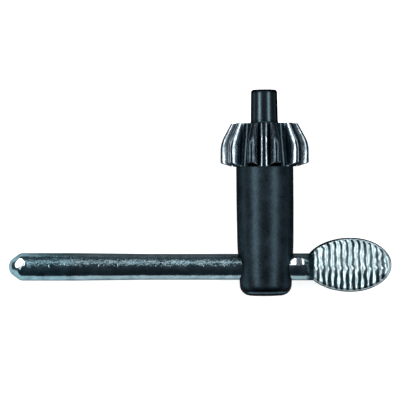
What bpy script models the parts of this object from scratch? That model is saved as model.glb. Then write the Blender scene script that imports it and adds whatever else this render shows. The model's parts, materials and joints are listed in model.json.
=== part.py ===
"""Drill chuck key: a toothed steel body with a pilot, and a cross handle with a thumb tab.

Everything is modelled in the key's own frame: Z is the body's axis with the pilot up, X is the
handle's axis with the thumb tab at +X, and the origin is where the two axes cross. The finished
key is then laid down on its side, as it comes to rest on a flat surface, on the plane z = 0.
Lengths are in metres, and angles are in degrees where their name says so.
"""

import math

import bmesh
import bpy
from mathutils import Matrix, Vector

# Pilot: the plain pin that enters the chuck's pilot hole
PILOT_TIP_DIAMETER = 0.00628
PILOT_BASE_DIAMETER = 0.00655
PILOT_LENGTH = 0.0081
PILOT_TIP_RADIUS = 0.00045
PILOT_BASE_FILLET = 0.0005

# Pinion blank: a flat top, a crowned face cone, a short cylinder and a back cone
PINION_TOP_Z = 0.0344
PINION_HEIGHT = 0.01035
PINION_DIAMETER = 0.0212
PINION_TOP_DIAMETER = 0.0160
FACE_CONE_HEIGHT = 0.0048
CROWN_RADIUS = 0.0070
TOP_EDGE_RADIUS = 0.00025
BACK_CONE_HEIGHT = 0.00085
BACK_CONE_DIAMETER = 0.0158
BACK_EDGE_RADIUS = 0.0004

# Tooth gaps: a filleted floor that leans in towards the pilot, and flanks that bulge into the gap
TOOTH_COUNT = 10
FIRST_GAP_ANGLE_DEG = -2.4
GAP_ROOT_DIAMETER = 0.0143
GAP_TOP_ROOT_DIAMETER = 0.0121
GAP_FLOOR_WIDTH = 0.0018
GAP_MOUTH_WIDTH = 0.0050
GAP_TOP_MOUTH_WIDTH = 0.0038
GAP_FLOOR_FILLET = 0.0006
FLANK_KNEE_OUTWARD_SHARE = 0.55
FLANK_KNEE_SIDEWAYS_SHARE = 0.3
FLANK_KNEE_RADIUS = 0.0045
GAP_OVERRUN = 0.0006

# Barrel: the plain shank, straight below the pinion and tapered towards its rounded end
BARREL_DIAMETER = 0.01374
BARREL_STRAIGHT_LENGTH = 0.0092
BARREL_WAIST_DIAMETER = 0.01352
BARREL_WAIST_Z = 0.0052
BARREL_END_DIAMETER = 0.0122
BARREL_END_Z = -0.0069
BARREL_END_RADIUS = 0.0026
BARREL_BLEND_RADIUS = 0.08

# Cross handle: a bright rod with a coned free end, upset so that it can't pull through the body
ROD_DIAMETER = 0.00625
FREE_END_X = -0.0616
FREE_END_DIAMETER = 0.0067
UPSET_LENGTH = 0.0122
UPSET_TAPER_LENGTH = 0.0180
NOSE_LENGTH = 0.00275
NOSE_FLAT_DIAMETER = 0.0026
NOSE_RADIUS = 0.0023
SHOULDER_RADIUS = 0.0018
HANDLE_LEAN_DEG = 0.5
HANDLE_CLEARANCE = 0.0002
HOLE_CUTTER_OVERRUN = 0.002

# Neck: the stretch of the handle between the barrel and the ramps down to the thumb tab
NECK_DIAMETER = 0.0065
NECK_LENGTH = 0.0030
NECK_SWELL_LENGTH = 0.0040
RAMP_LENGTH = 0.0017

# Thumb tab: the rod's end pressed flat into an oval, a little off the rod's centre line
TAB_OFFSET = 0.0005
TAB_WIDTH = 0.0130
TAB_OUTER_LENGTH = 0.00985
TAB_INNER_LENGTH = 0.0109
TAB_THICKNESS = 0.0029
TAB_EDGE_RADIUS = 0.0011
TAB_REACH_BACK = 0.0004

# Serrations: round-bottomed grooves across both faces of the tab, inside a smooth rim
SERRATION_PITCH = 0.001423
FIRST_SERRATION_DISTANCE = 0.0011
LAST_SERRATION_DISTANCE = 0.0016
SERRATION_WIDTH = 0.00072
SERRATION_DEPTH = 0.00030
SERRATION_RIM = 0.0006

# Fineness of the round shapes
BODY_SEGMENTS = 80
ROD_SEGMENTS = 48
TAB_OUTLINE_POINTS = 56
SERRATION_SEGMENTS = 16
ARC_STEPS = 4
TAB_EDGE_STEPS = 2

# Worked out from the sizes above
PILOT_TOP_Z = PINION_TOP_Z + PILOT_LENGTH
PINION_BOTTOM_Z = PINION_TOP_Z - PINION_HEIGHT
BACK_LAND_Z = PINION_BOTTOM_Z + BACK_CONE_HEIGHT
BARREL_STRAIGHT_END_Z = PINION_BOTTOM_Z - BARREL_STRAIGHT_LENGTH
HOLE_DIAMETER = max(ROD_DIAMETER, NECK_DIAMETER) + 2 * HANDLE_CLEARANCE
NECK_SWELL_END_X = BARREL_DIAMETER / 2
RAMP_START_X = NECK_SWELL_END_X + NECK_LENGTH
TAB_FACE_X = RAMP_START_X + RAMP_LENGTH
TAB_CENTRE_X = RAMP_START_X - TAB_REACH_BACK + TAB_INNER_LENGTH
TAB_TIP_X = TAB_CENTRE_X + TAB_OUTER_LENGTH
FIRST_SERRATION_X = TAB_FACE_X + FIRST_SERRATION_DISTANCE
SERRATION_ROOM = TAB_TIP_X - LAST_SERRATION_DISTANCE - FIRST_SERRATION_X
SERRATION_COUNT = 1 + int(SERRATION_ROOM / SERRATION_PITCH)
RAMP_ANGLE = math.atan2((NECK_DIAMETER - TAB_THICKNESS) / 2, RAMP_LENGTH)
RAMP_BLOCK_SIZE = 4 * NECK_DIAMETER

# How the shapes are made
MERGE_DISTANCE = 0.000002
SHARED_SIDE_SHARE = 0.49
OWN_SIDE_SHARE = 0.98
SHARP_ANGLE = math.radians(35)

# Finishes, as linear colour and roughness
BLACK_OXIDE = ((0.035, 0.038, 0.043), 0.35)
BRIGHT_PLATING = ((0.55, 0.57, 0.60), 0.22)


def clear_scene():
    for obj in list(bpy.data.objects):
        bpy.data.objects.remove(obj)


def new_collection(name):
    collection = bpy.data.collections.new(name)
    bpy.context.scene.collection.children.link(collection)
    return collection


def steel(name, colour, roughness):
    material = bpy.data.materials.new(name)
    material.use_nodes = True
    shader = material.node_tree.nodes["Principled BSDF"]
    shader.inputs["Base Color"].default_value = (*colour, 1.0)
    shader.inputs["Metallic"].default_value = 1.0
    shader.inputs["Roughness"].default_value = roughness
    return material


def corner_room(corner, neighbour):
    """How much of the side towards this neighbour an arc may take up."""
    x, y, radius = neighbour
    share = SHARED_SIDE_SHARE if radius > 0 else OWN_SIDE_SHARE
    return share * (Vector((x, y)) - corner).length


def rounded_path(corners):
    """A polyline from (x, y, corner radius) points, with each corner made an arc.

    An arc has its own radius, or the largest that leaves room for the next corner's arc.
    """
    path = []
    for before, (x, y, radius), after in zip(
        [None] + corners[:-1], corners, corners[1:] + [None]
    ):
        corner = Vector((x, y))
        if radius == 0:
            path.append(corner)
            continue
        back = Vector(before[:2]) - corner
        ahead = Vector(after[:2]) - corner
        half_angle = back.angle(ahead) / 2
        room = min(corner_room(corner, before), corner_room(corner, after))
        radius = min(radius, room * math.tan(half_angle))
        back.normalize()
        ahead.normalize()
        centre = corner + (back + ahead).normalized() * radius / math.sin(half_angle)
        start = corner + back * radius / math.tan(half_angle) - centre
        turn = start.angle_signed(corner + ahead * radius / math.tan(half_angle) - centre)
        for step in range(ARC_STEPS + 1):
            path.append(centre + Matrix.Rotation(-turn * step / ARC_STEPS, 2) @ start)
    return path


def turned(name, corners, segments, collection):
    """A solid turned about its own Z. Its (radius, z, corner radius) points run down the outside."""
    points = [(point.x, 0.0, point.y) for point in rounded_path(corners)]
    mesh = bpy.data.meshes.new(name)
    mesh.from_pydata(points, [(i, i + 1) for i in range(len(points) - 1)], [])
    obj = bpy.data.objects.new(name, mesh)
    collection.objects.link(obj)
    screw = obj.modifiers.new("turn", "SCREW")
    screw.steps = segments
    screw.render_steps = segments
    screw.use_merge_vertices = True
    screw.merge_threshold = MERGE_DISTANCE
    screw.use_smooth_shade = True
    return obj


def cutter(name, build, collection):
    """A hidden helper solid, made by a function that fills a bmesh."""
    bm = bmesh.new()
    build(bm)
    bmesh.ops.recalc_face_normals(bm, faces=bm.faces)
    mesh = bpy.data.meshes.new(name)
    bm.to_mesh(mesh)
    bm.free()
    obj = bpy.data.objects.new(name, mesh)
    hide_as_helper(obj, collection)
    return obj


def hide_as_helper(obj, collection):
    collection.objects.link(obj)
    obj.hide_render = True
    obj.display_type = "WIRE"


def boolean(obj, operation, *others):
    for other in others:
        modifier = obj.modifiers.new(f"{operation.lower()} {other.name}", "BOOLEAN")
        modifier.operation = operation
        modifier.object = other


def boolean_collection(obj, operation, collection):
    modifier = obj.modifiers.new(f"{operation.lower()} {collection.name}", "BOOLEAN")
    modifier.operation = operation
    modifier.operand_type = "COLLECTION"
    modifier.collection = collection


def mesh_from_curve(name, curve, matrix, collection):
    """The closed mesh of a flat curve outline, with its caps welded."""
    source = bpy.data.objects.new(name + "_outline", curve)
    bpy.context.scene.collection.objects.link(source)
    source.matrix_world = matrix
    bpy.context.view_layer.update()
    graph = bpy.context.evaluated_depsgraph_get()
    mesh = bpy.data.meshes.new_from_object(source.evaluated_get(graph))
    bm = bmesh.new()
    bm.from_mesh(mesh)
    bmesh.ops.remove_doubles(bm, verts=bm.verts, dist=MERGE_DISTANCE)
    bmesh.ops.recalc_face_normals(bm, faces=bm.faces)
    bm.to_mesh(mesh)
    bm.free()
    obj = bpy.data.objects.new(name, mesh)
    obj.matrix_world = source.matrix_world
    bpy.data.objects.remove(source)
    hide_as_helper(obj, collection)
    return obj


def flat_curve(name, outline, thickness):
    curve = bpy.data.curves.new(name, "CURVE")
    curve.dimensions = "2D"
    curve.fill_mode = "BOTH"
    curve.extrude = thickness / 2
    spline = curve.splines.new("POLY")
    spline.points.add(len(outline) - 1)
    for point, (x, y) in zip(spline.points, outline):
        point.co = (x, y, 0.0, 1.0)
    spline.use_cyclic_u = True
    return curve


def body_profile():
    """The body's outline from the pilot's tip down to the barrel's end."""
    return [
        (0.0, PILOT_TOP_Z, 0),
        (PILOT_TIP_DIAMETER / 2, PILOT_TOP_Z, PILOT_TIP_RADIUS),
        (PILOT_BASE_DIAMETER / 2, PINION_TOP_Z, PILOT_BASE_FILLET),
        (PINION_TOP_DIAMETER / 2, PINION_TOP_Z, TOP_EDGE_RADIUS),
        (PINION_DIAMETER / 2, PINION_TOP_Z - FACE_CONE_HEIGHT, CROWN_RADIUS),
        (PINION_DIAMETER / 2, BACK_LAND_Z, BACK_EDGE_RADIUS),
        (BACK_CONE_DIAMETER / 2, PINION_BOTTOM_Z, BACK_EDGE_RADIUS),
        (BARREL_DIAMETER / 2, PINION_BOTTOM_Z, 0),
        (BARREL_DIAMETER / 2, BARREL_STRAIGHT_END_Z, BARREL_BLEND_RADIUS),
        (BARREL_WAIST_DIAMETER / 2, BARREL_WAIST_Z, BARREL_BLEND_RADIUS),
        (BARREL_END_DIAMETER / 2, BARREL_END_Z, BARREL_END_RADIUS),
        (0.0, BARREL_END_Z, 0),
    ]


def gap_section(root_radius, crown_radius, mouth_width):
    """Half of a tooth gap in a plane across the body's axis, as (sideways, outward) points.

    It runs from past the gap's mouth down the flank to the floor, and stops short of the middle.
    """
    half_floor = GAP_FLOOR_WIDTH / 2
    half_mouth = mouth_width / 2
    mouth_y = math.sqrt(crown_radius**2 - half_mouth**2)
    knee_x = half_floor + FLANK_KNEE_SIDEWAYS_SHARE * (half_mouth - half_floor)
    knee_y = root_radius + FLANK_KNEE_OUTWARD_SHARE * (mouth_y - root_radius)
    slope = (half_mouth - knee_x) / (mouth_y - knee_y)
    outer_y = crown_radius + GAP_OVERRUN
    outline = rounded_path(
        [
            (half_mouth + slope * (outer_y - mouth_y), outer_y, 0),
            (knee_x, knee_y, FLANK_KNEE_RADIUS),
            (half_floor, root_radius, GAP_FLOOR_FILLET),
            (0.0, root_radius, 0),
        ]
    )
    return outline[:-1]


def loft_tooth_gap(bm):
    """The solid of one tooth gap, lofted through sections across the body's axis, from below up."""
    crown_z = PINION_TOP_Z - FACE_CONE_HEIGHT
    root_slope = (GAP_ROOT_DIAMETER - GAP_TOP_ROOT_DIAMETER) / 2 / (PINION_TOP_Z - BACK_LAND_Z)
    stations = [
        (PINION_BOTTOM_Z - GAP_OVERRUN, PINION_DIAMETER / 2, GAP_MOUTH_WIDTH),
        (crown_z, PINION_DIAMETER / 2, GAP_MOUTH_WIDTH),
        (PINION_TOP_Z, PINION_TOP_DIAMETER / 2, GAP_TOP_MOUTH_WIDTH),
        (PINION_TOP_Z + GAP_OVERRUN, PINION_TOP_DIAMETER / 2, GAP_TOP_MOUTH_WIDTH),
    ]
    rings = []
    for z, crown_radius, mouth_width in stations:
        root_radius = GAP_TOP_ROOT_DIAMETER / 2 + root_slope * (PINION_TOP_Z - z)
        half = gap_section(root_radius, crown_radius, mouth_width)
        whole = half + [Vector((-point.x, point.y)) for point in reversed(half)]
        rings.append([bm.verts.new((point.x, point.y, z)) for point in whole])
    for lower, upper in zip(rings, rings[1:]):
        for i in range(len(lower)):
            bm.faces.new((lower[i - 1], lower[i], upper[i], upper[i - 1]))
    bm.faces.new(rings[0])
    bm.faces.new(rings[-1])


def tooth_gap_cutters(collection):
    """One cutter for each gap. They share a mesh and are turned about the body's axis."""
    groove = cutter("tooth_gap_1", loft_tooth_gap, collection)
    for number in range(TOOTH_COUNT):
        if number > 0:
            groove = bpy.data.objects.new(f"tooth_gap_{number + 1}", groove.data)
            hide_as_helper(groove, collection)
        angle = math.radians(180 + FIRST_GAP_ANGLE_DEG) + math.tau * number / TOOTH_COUNT
        groove.rotation_euler.z = angle


def key_body(parts, helpers, gaps):
    body = turned("key_body", body_profile(), BODY_SEGMENTS, parts)
    tooth_gap_cutters(gaps)
    boolean_collection(body, "DIFFERENCE", gaps)
    hole = cutter(
        "cross_hole",
        lambda bm: bmesh.ops.create_cone(
            bm,
            cap_ends=True,
            segments=ROD_SEGMENTS,
            radius1=HOLE_DIAMETER / 2,
            radius2=HOLE_DIAMETER / 2,
            depth=BARREL_DIAMETER + 2 * HOLE_CUTTER_OVERRUN,
        ),
        helpers,
    )
    hole.rotation_euler.y = math.radians(90 + HANDLE_LEAN_DEG)
    boolean(body, "DIFFERENCE", hole)
    return body


def rod_profile():
    """The handle's outline from inside the thumb tab back to the nose of the free end."""
    rod_end_x = RAMP_START_X + RAMP_LENGTH * NECK_DIAMETER / (NECK_DIAMETER - TAB_THICKNESS)
    cone_start_x = FREE_END_X + NOSE_LENGTH
    upset_start_x = cone_start_x + UPSET_LENGTH
    return [
        (0.0, rod_end_x, 0),
        (NECK_DIAMETER / 2, rod_end_x, 0),
        (NECK_DIAMETER / 2, NECK_SWELL_END_X, 0),
        (ROD_DIAMETER / 2, NECK_SWELL_END_X - NECK_SWELL_LENGTH, 0),
        (ROD_DIAMETER / 2, upset_start_x + UPSET_TAPER_LENGTH, 0),
        (FREE_END_DIAMETER / 2, upset_start_x, 0),
        (FREE_END_DIAMETER / 2, cone_start_x, SHOULDER_RADIUS),
        (NOSE_FLAT_DIAMETER / 2, FREE_END_X, NOSE_RADIUS),
        (0.0, FREE_END_X, 0),
    ]


def tab_half_width(x):
    """Half the tab's width at this place along the handle."""
    length = TAB_OUTER_LENGTH if x > TAB_CENTRE_X else TAB_INNER_LENGTH
    return TAB_WIDTH / 2 * math.sqrt(max(0.0, 1 - ((x - TAB_CENTRE_X) / length) ** 2))


def thumb_tab(helpers):
    """The oval plate with a rounded rim, lying in the key's own plane."""
    outline = []
    for number in range(TAB_OUTLINE_POINTS):
        angle = math.tau * number / TAB_OUTLINE_POINTS
        length = TAB_OUTER_LENGTH if math.cos(angle) > 0 else TAB_INNER_LENGTH
        outline.append((length * math.cos(angle), TAB_WIDTH / 2 * math.sin(angle)))
    curve = flat_curve("thumb_tab", outline, TAB_THICKNESS - 2 * TAB_EDGE_RADIUS)
    curve.bevel_depth = TAB_EDGE_RADIUS
    curve.bevel_resolution = TAB_EDGE_STEPS
    curve.offset = -TAB_EDGE_RADIUS
    place = Matrix.Translation((TAB_CENTRE_X, 0.0, TAB_OFFSET)) @ Matrix.Rotation(math.pi / 2, 4, "X")
    return mesh_from_curve("thumb_tab", curve, place, helpers)


def ramp_cutters(helpers):
    """Two blocks whose faces are the planes that bring the round neck down to the tab's faces."""
    for side in (1, -1):
        block = cutter(
            "ramp_upper" if side < 0 else "ramp_lower",
            lambda bm: bmesh.ops.create_cube(bm, size=RAMP_BLOCK_SIZE),
            helpers,
        )
        block.matrix_world = (
            Matrix.Translation((RAMP_START_X, side * NECK_DIAMETER / 2, 0.0))
            @ Matrix.Rotation(-side * RAMP_ANGLE, 4, "Z")
            @ Matrix.Translation((0.0, side * RAMP_BLOCK_SIZE / 2, 0.0))
        )
        yield block


def serration_cutters(collection):
    """Round bars laid across both faces of the tab. Each stops short of the tab's outline."""
    radius = (SERRATION_WIDTH**2 / 4 + SERRATION_DEPTH**2) / (2 * SERRATION_DEPTH)
    height = TAB_THICKNESS / 2 + radius - SERRATION_DEPTH
    for number in range(SERRATION_COUNT):
        x = FIRST_SERRATION_X + number * SERRATION_PITCH
        length = 2 * (tab_half_width(x) - SERRATION_RIM)
        for side, face in ((1, "lower"), (-1, "upper")):
            bar = cutter(
                f"serration_{face}_{number + 1}",
                lambda bm: bmesh.ops.create_cone(
                    bm,
                    cap_ends=True,
                    segments=SERRATION_SEGMENTS,
                    radius1=radius,
                    radius2=radius,
                    depth=length,
                ),
                collection,
            )
            bar.location = (x, side * height, TAB_OFFSET)


def cross_handle(parts, helpers, serrations):
    handle = turned("cross_handle", rod_profile(), ROD_SEGMENTS, parts)
    handle.rotation_euler.y = math.pi / 2
    boolean(handle, "DIFFERENCE", *ramp_cutters(helpers))
    boolean(handle, "UNION", thumb_tab(helpers))
    serration_cutters(serrations)
    boolean_collection(handle, "DIFFERENCE", serrations)
    return handle


def finish_surface(obj, material):
    """Gives the object its metal, shaded smooth across its gentle facets only."""
    obj.data.materials.append(material)
    for modifier in obj.modifiers:
        if modifier.type == "BOOLEAN":
            modifier.material_mode = "INDEX"
    obj.data.shade_smooth()
    obj.data.set_sharp_from_angle(angle=SHARP_ANGLE)


def parent_all(collections, parent, only=None):
    for collection in collections:
        for obj in collection.objects:
            if obj.parent is None and obj is not parent and (only is None or obj in only):
                obj.parent = parent


def evaluated_bmesh(obj):
    bm = bmesh.new()
    bm.from_object(obj, bpy.context.evaluated_depsgraph_get())
    bm.transform(obj.matrix_world)
    return bm


def centre_of_mass(meshes):
    """The centre of the solids' volume, summed over the tetrahedra under their faces."""
    total = 0.0
    moment = Vector()
    for bm in meshes:
        for loops in bm.calc_loop_triangles():
            a, b, c = (loop.vert.co for loop in loops)
            volume = a.dot(b.cross(c)) / 6
            total += volume
            moment += volume * (a + b + c) / 4
    return moment / total


def stands_over(face, centre):
    """Whether the foot of the centre of mass falls inside this face of the hull."""
    foot = centre - face.normal * (centre - face.verts[0].co).dot(face.normal)
    return all(
        (loop.link_loop_next.vert.co - loop.vert.co).cross(foot - loop.vert.co).dot(face.normal) >= 0
        for loop in face.loops
    )


def resting_matrix(objects, handle_direction):
    """The move that lays the key on its lower side, with the middle of its box's floor at the origin."""
    meshes = [evaluated_bmesh(obj) for obj in objects]
    hull = bmesh.new()
    for bm in meshes:
        for vert in bm.verts:
            hull.verts.new(vert.co)
    bmesh.ops.convex_hull(hull, input=hull.verts)
    bmesh.ops.recalc_face_normals(hull, faces=hull.faces)
    centre = centre_of_mass(meshes)
    steady = [face for face in hull.faces if stands_over(face, centre)]
    down = max(steady, key=lambda face: face.normal.y).normal.copy()
    right = (handle_direction - down * handle_direction.dot(down)).normalized()
    up = -down
    turn = Matrix((right, up.cross(right), up))
    corners = [turn @ vert.co for vert in hull.verts]
    low = Vector(min(corner[axis] for corner in corners) for axis in range(3))
    high = Vector(max(corner[axis] for corner in corners) for axis in range(3))
    floor_centre = Vector(((low.x + high.x) / 2, (low.y + high.y) / 2, low.z))
    for bm in meshes + [hull]:
        bm.free()
    return Matrix.Translation(-floor_centre) @ turn.to_4x4()


def main():
    clear_scene()
    parts = new_collection("drill_chuck_key")
    helpers = new_collection("cutters")
    gaps = new_collection("tooth_gap_cutters")
    serrations = new_collection("serration_cutters")
    for collection in (helpers, gaps, serrations):
        collection.hide_render = True

    body = key_body(parts, helpers, gaps)
    handle = cross_handle(parts, helpers, serrations)
    finish_surface(body, steel("black_oxide_steel", *BLACK_OXIDE))
    finish_surface(handle, steel("bright_plated_steel", *BRIGHT_PLATING))

    handle_axis = bpy.data.objects.new("handle_axis", None)
    parts.objects.link(handle_axis)
    leaning = [handle] + list(serrations.objects)
    leaning += [obj for obj in helpers.objects if obj.name != "cross_hole"]
    parent_all((parts, helpers, serrations), handle_axis, only=leaning)
    handle_axis.rotation_euler.y = math.radians(HANDLE_LEAN_DEG)

    resting_place = bpy.data.objects.new("resting_place", None)
    parts.objects.link(resting_place)
    parent_all((parts, helpers, gaps, serrations), resting_place)
    bpy.context.view_layer.update()
    handle_direction = handle_axis.matrix_world.to_3x3() @ Vector((1.0, 0.0, 0.0))
    resting_place.matrix_world = resting_matrix((body, handle), handle_direction)
    bpy.context.view_layer.update()


main()
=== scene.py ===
"""Looks of a drill chuck key: a black steel body with a bevel pinion, and a bright cross handle.

The packed model gives the key's place, and this file makes the fine surfaces around it. Lengths are
in metres. The key's own frame has Z up the body towards the pilot, X along the handle towards the
thumb tab, and Y away from the camera, with its origin where the two axes cross.
"""

import json
import math
from functools import partialmethod

import bpy
import numpy as np
from bpy.props import FloatProperty, FloatVectorProperty, IntProperty, PointerProperty
from mathutils import Matrix, Vector, noise


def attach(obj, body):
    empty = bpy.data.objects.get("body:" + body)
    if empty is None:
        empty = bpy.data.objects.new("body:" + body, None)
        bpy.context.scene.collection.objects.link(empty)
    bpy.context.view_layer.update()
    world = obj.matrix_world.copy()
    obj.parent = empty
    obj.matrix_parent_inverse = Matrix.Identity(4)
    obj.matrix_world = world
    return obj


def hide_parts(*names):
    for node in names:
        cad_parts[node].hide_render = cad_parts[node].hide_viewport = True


bl_info = {
    "name": "Drill Chuck Key",
    "version": (1, 0, 0),
    "blender": (4, 5, 0),
    "location": "3D View > Sidebar > Chuck Key",
    "description": "Builds a drill chuck key with machined and plated steel surfaces",
    "category": "Object",
}

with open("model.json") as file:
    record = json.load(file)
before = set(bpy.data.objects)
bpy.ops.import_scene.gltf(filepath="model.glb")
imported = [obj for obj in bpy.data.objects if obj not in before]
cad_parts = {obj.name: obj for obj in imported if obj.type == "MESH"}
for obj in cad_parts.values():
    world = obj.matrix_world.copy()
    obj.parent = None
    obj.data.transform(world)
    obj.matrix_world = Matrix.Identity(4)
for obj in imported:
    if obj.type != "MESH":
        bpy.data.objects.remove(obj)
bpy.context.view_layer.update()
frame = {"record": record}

# Fineness of the surfaces
ARC_STEPS = 8
ROD_ARC_STEPS = 10
PILOT_SPACING = 0.0011
PINION_SPACING = 0.00045
BARREL_SPACING = 0.0013
ROD_SPACING = 0.00025
ROD_SEGMENTS = 144
HOLE_SEGMENTS = 96
SHARP_ANGLE_DEG = 32


def length(name, description, default):
    return FloatProperty(
        name=name, description=description, default=default, unit="LENGTH", subtype="DISTANCE", precision=5
    )


def angle(name, description, default):
    return FloatProperty(
        name=name, description=description, default=default, unit="ROTATION", subtype="ANGLE"
    )


def colour(name, description, default):
    return FloatVectorProperty(
        name=name, description=description, default=default, subtype="COLOR", min=0.0, max=1.0
    )


class BodySizes(bpy.types.PropertyGroup):
    """The turned body: pilot, pinion and barrel."""

    pilot_tip_diameter: length("Pilot tip", "Diameter at the tip", 0.00628)
    pilot_base_diameter: length("Pilot base", "Diameter at the foot", 0.00655)
    pilot_length: length("Pilot length", "Height above the pinion", 0.0081)
    pilot_tip_radius: length("Pilot rounding", "Radius of the tip's edge", 0.0007)
    pilot_base_fillet: length("Pilot fillet", "Fillet at the foot", 0.0005)
    pinion_top_z: length("Pinion top", "Height of the top above the handle's axis", 0.0344)
    pinion_height: length("Pinion height", "Height of the toothed stretch", 0.01035)
    pinion_diameter: length("Pinion diameter", "Diameter over the teeth", 0.0212)
    pinion_top_diameter: length("Pinion top diameter", "Diameter of the top face", 0.0160)
    face_cone_height: length("Face cone", "Height of the cone over the teeth", 0.0048)
    crown_radius: length("Crown", "Radius below the face cone", 0.0070)
    top_edge_radius: length("Top edge", "Radius of the teeth's upper edge", 0.00025)
    back_cone_height: length("Back cone", "Height of the bevel under the teeth", 0.00085)
    back_cone_diameter: length("Back cone diameter", "Diameter of the pinion's underside", 0.0158)
    back_edge_radius: length("Back edge", "Radius of that bevel's edges", 0.0004)
    tooth_count: IntProperty(name="Teeth", description="Number of pinion teeth", default=10, min=6)
    first_gap_angle: angle("First gap", "Turn of the first gap from the camera's side", math.radians(-2.4))
    gap_root_diameter: length("Root", "Root diameter at the wide end", 0.0143)
    gap_top_root_diameter: length("Top root", "Root diameter at the upper end", 0.0121)
    gap_floor_width: length("Gap floor", "Width of a tooth gap's floor", 0.0023)
    gap_mouth_width: length("Gap mouth", "Width of the mouth at the wide end", 0.0050)
    gap_top_mouth_width: length("Top gap mouth", "Width of the mouth at the upper end", 0.0038)
    gap_floor_fillet: length("Gap fillet", "Fillet at the gap's floor", 0.0013)
    tooth_edge_radius: length("Tooth edge", "Worn radius of the teeth's long edges", 0.0008)
    barrel_diameter: length("Barrel", "Diameter below the pinion", 0.01374)
    barrel_straight_length: length("Straight barrel", "Length of the straight stretch", 0.0092)
    barrel_waist_diameter: length("Barrel waist", "Diameter where the end taper starts", 0.01352)
    barrel_waist_z: length("Waist height", "Height of that place", 0.0052)
    barrel_end_diameter: length("Barrel end", "Diameter at the end, before its rounding", 0.0122)
    barrel_end_z: length("End height", "Height of the end face", -0.0069)
    barrel_end_radius: length("End radius", "Rounding of the end", 0.0026)
    hole_clearance: length("Hole clearance", "Gap between the handle and its hole", 0.00004)


class HandleSizes(bpy.types.PropertyGroup):
    """The cross handle: rod, neck and thumb tab."""

    lean: angle("Lean", "How far the handle is out of square", math.radians(0.5))
    rod_diameter: length("Rod", "Diameter of the plain rod", 0.00625)
    free_end_x: length("Free end", "Place of the nose", -0.0616)
    free_end_diameter: length("Free end diameter", "Diameter of the free end", 0.0067)
    upset_length: length("Upset length", "Length of the thicker free end", 0.0122)
    upset_taper_length: length("Upset taper", "Length of the taper behind it", 0.0180)
    nose_length: length("Nose", "Length of the nose cone", 0.00275)
    nose_flat_diameter: length("Nose flat", "Diameter of the nose's blunt tip", 0.0026)
    nose_radius: length("Nose radius", "Rounding of the blunt tip", 0.0023)
    shoulder_radius: length("Shoulder", "Rounding behind the nose cone", 0.0018)
    neck_diameter: length("Neck", "Diameter between the body and the tab", 0.0065)
    neck_length: length("Neck length", "Length of the round neck", 0.0030)
    neck_swell_length: length("Neck swell", "Length of the taper to the neck", 0.0040)
    ramp_length: length("Ramp", "Length of the slope to the tab's face", 0.0017)
    tab_offset: length("Tab offset", "How far it lies off the rod's line", 0.0005)
    tab_width: length("Tab width", "Width of the oval", 0.0130)
    tab_outer_length: length("Tab outer half", "From the widest place to the tip", 0.00985)
    tab_inner_length: length("Tab inner half", "From the widest place to the root", 0.0109)
    tab_thickness: length("Tab thickness", "Thickness between the faces", 0.0029)
    tab_edge_radius: length("Tab rim", "Rounding of the rim", 0.0011)
    tab_reach_back: length("Tab overlap", "How far it runs back under the ramp", 0.0004)
    serration_pitch: length("Serration pitch", "Distance from groove to groove", 0.001423)
    first_serration_distance: length("First groove", "From the ramp's foot to the first groove", 0.0011)
    last_serration_distance: length("Last groove", "Least distance to the tip", 0.0016)
    serration_depth: length("Serration depth", "Depth of the grooves", 0.00030)
    serration_rim: length("Serration rim", "Smooth border round the grooves", 0.0006)


class Finishes(bpy.types.PropertyGroup):
    """Colours of the two metals and of the floor."""

    oxide: colour("Black oxide", "Reflection colour of the blackened steel", (0.030, 0.048, 0.060))
    oxide_pilot: colour("Polished oxide", "Reflection colour of the smooth pilot", (0.052, 0.078, 0.092))
    # Worn flank colour, which also makes the painted highlights on the pinion
    oxide_worn_and_highlight: colour("Worn steel", "Colour of the tooth flanks that mesh", (0.43, 0.51, 0.57))
    plating: colour("Plating", "Reflection colour of the bright plating", (0.200, 0.290, 0.325))
    plating_cool: colour("Cool plating", "Plating towards the free end", (0.160, 0.275, 0.320))
    # Land colour: rubbed plating, made pale enough to stand in for the lands' highlight
    plating_rubbed_and_highlight: colour("Pale plating", "Colour of the rubbed serration lands", (0.68, 0.87, 0.92))
    # Painted highlight colour for the mark pressed into the neck
    pressed_mark_highlight: colour("Pressed plating", "Colour of the marks pressed into the rod", (0.75, 0.82, 0.84))
    # Near-black colour for dirt and painted shade in the grooves, and for painted shade along the tab's rim
    # and on the ramp
    groove_dirt_and_shade: colour("Groove dirt", "Colour at the bottom of the serrations", (0.012, 0.022, 0.028))
    floor: colour("Floor", "Colour of the floor", (0.93, 0.93, 0.93))


class StageSettings(bpy.types.PropertyGroup):
    """The camera, the floor and the lights."""

    picture_width: length("Picture width", "Width of the view at the key", 0.0960)
    crossing_right: length("Crossing, right", "How far right of the middle the axes cross", 0.01574)
    crossing_down: length("Crossing, down", "How far below the middle the axes cross", 0.01603)
    camera_distance: length("Camera distance", "From the camera to the key", 0.60)
    floor_size: length("Floor size", "Side of the square floor", 3.0)
    light_distance: length("Light distance", "From the key to the lamps", 0.55)


GROUPS = {
    "chuck_key_body": BodySizes,
    "chuck_key_handle": HandleSizes,
    "chuck_key_finishes": Finishes,
    "chuck_key_stage": StageSettings,
}


def key_matrix(body, handle):
    """The key's own frame, from the packed model's two end faces and the handle's lie along +X."""
    mounts = {mount["name"]: mount for mount in frame["record"]["mounts"]}
    up = Vector(mounts["pilot_end"]["axis"]).normalized()
    reach = math.hypot(up.x, up.z)
    climb = math.atan2(up.z, up.x) - math.acos(-math.sin(handle.lean) / reach)
    along = Vector((math.cos(climb), 0.0, math.sin(climb)))
    right = (along - up * along.dot(up)).normalized()
    crossing = Vector(mounts["barrel_end"]["pos_m"]) - up * body.barrel_end_z
    turn = Matrix((right, up.cross(right), up)).transposed()
    return Matrix.Translation(crossing) @ turn.to_4x4()


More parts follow.
